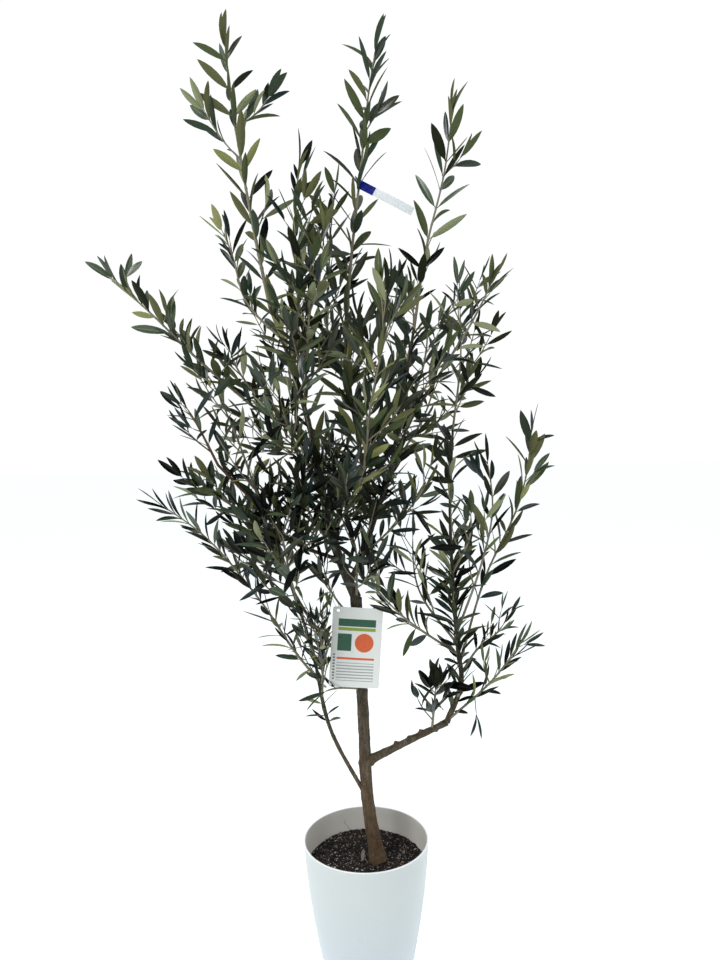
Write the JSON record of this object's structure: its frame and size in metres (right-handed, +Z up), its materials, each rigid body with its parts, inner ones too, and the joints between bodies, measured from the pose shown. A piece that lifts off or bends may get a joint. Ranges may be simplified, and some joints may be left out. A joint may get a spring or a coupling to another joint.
{
  "type": "potted olive tree",
  "caption": "Young olive tree with slender upright shoots and narrow grey-green leaves, in a round tapered white plastic pot.",
  "frame": {"origin": "middle of the pot's flat underside, on the ground", "axes": "+Z up along the pot's axis; the front, with the care card, faces -Y; +X is to the right seen from the front"},
  "size_m": [0.8574, 0.5971, 1.8042],
  "materials": {
    "pot": "satin white moulded plastic",
    "soil": "dark crumbly bark and peat mix with pale grit",
    "bark": "grey-brown bark, matt, with small knots",
    "foliage": "leathery leaves, satin dark green above, matt grey-green below",
    "card": "printed white plastic card",
    "tie": "thin white tie",
    "strip": "thin white plastic strip with a blue end"
  },
  "bodies": {
    "root": {"back_left_bough": "bark", "back_right_bough": "bark", "card_tie": "tie", "care_card": "card", "centre_bough": "bark", "foliage_back_left_side": "foliage", "foliage_back_left_top": "foliage", "foliage_back_low": "foliage", "foliage_back_middle": "foliage", "foliage_back_right_side": "foliage", "foliage_back_right_top": "foliage", "foliage_behind_label": "foliage", "foliage_below_label": "foliage", "foliage_centre_leader": "foliage", "foliage_centre_right": "foliage", "foliage_crown_front_left": "foliage", "foliage_crown_front_right": "foliage", "foliage_crown_right": "foliage", "foliage_dark_shoot": "foliage", "foliage_fork_shoot": "foliage", "foliage_front": "foliage", "foliage_inner_right": "foliage", "foliage_leader_front": "foliage", "foliage_left_arm": "foliage", "foliage_left_inner": "foliage", "foliage_left_leader": "foliage", "foliage_left_low_arm": "foliage", "foliage_left_upper": "foliage", "foliage_low_left_arm": "foliage", "foliage_low_left_inner": "foliage", "foliage_low_left_side": "foliage", "foliage_low_left_tip": "foliage", "foliage_middle_left_front": "foliage", "foliage_middle_left_tip": "foliage", "foliage_outer_right": "foliage", "foliage_reddish_tip": "foliage", "foliage_right_arm": "foliage", "foliage_right_back": "foliage", "foliage_right_leader": "foliage", "foliage_right_middle": "foliage", "foliage_right_side": "foliage", "foliage_right_to_trunk": "foliage", "foliage_right_top": "foliage", "foliage_shoulder": "foliage", "foliage_upper_centre": "foliage", "foliage_upper_left_front": "foliage", "leader_bough": "bark", "left_arm_bough": "bark", "left_leader_bough": "bark", "low_left_stem": "bark", "middle_left_stem": "bark", "pot": "pot", "reddish_bough": "bark", "right_centre_bough": "bark", "right_lower_bough": "bark", "right_upper_bough": "bark", "shoulder_bough": "bark", "soil": "soil", "strip_label": "strip", "trunk": "bark"}
  },
  "joints": []
}
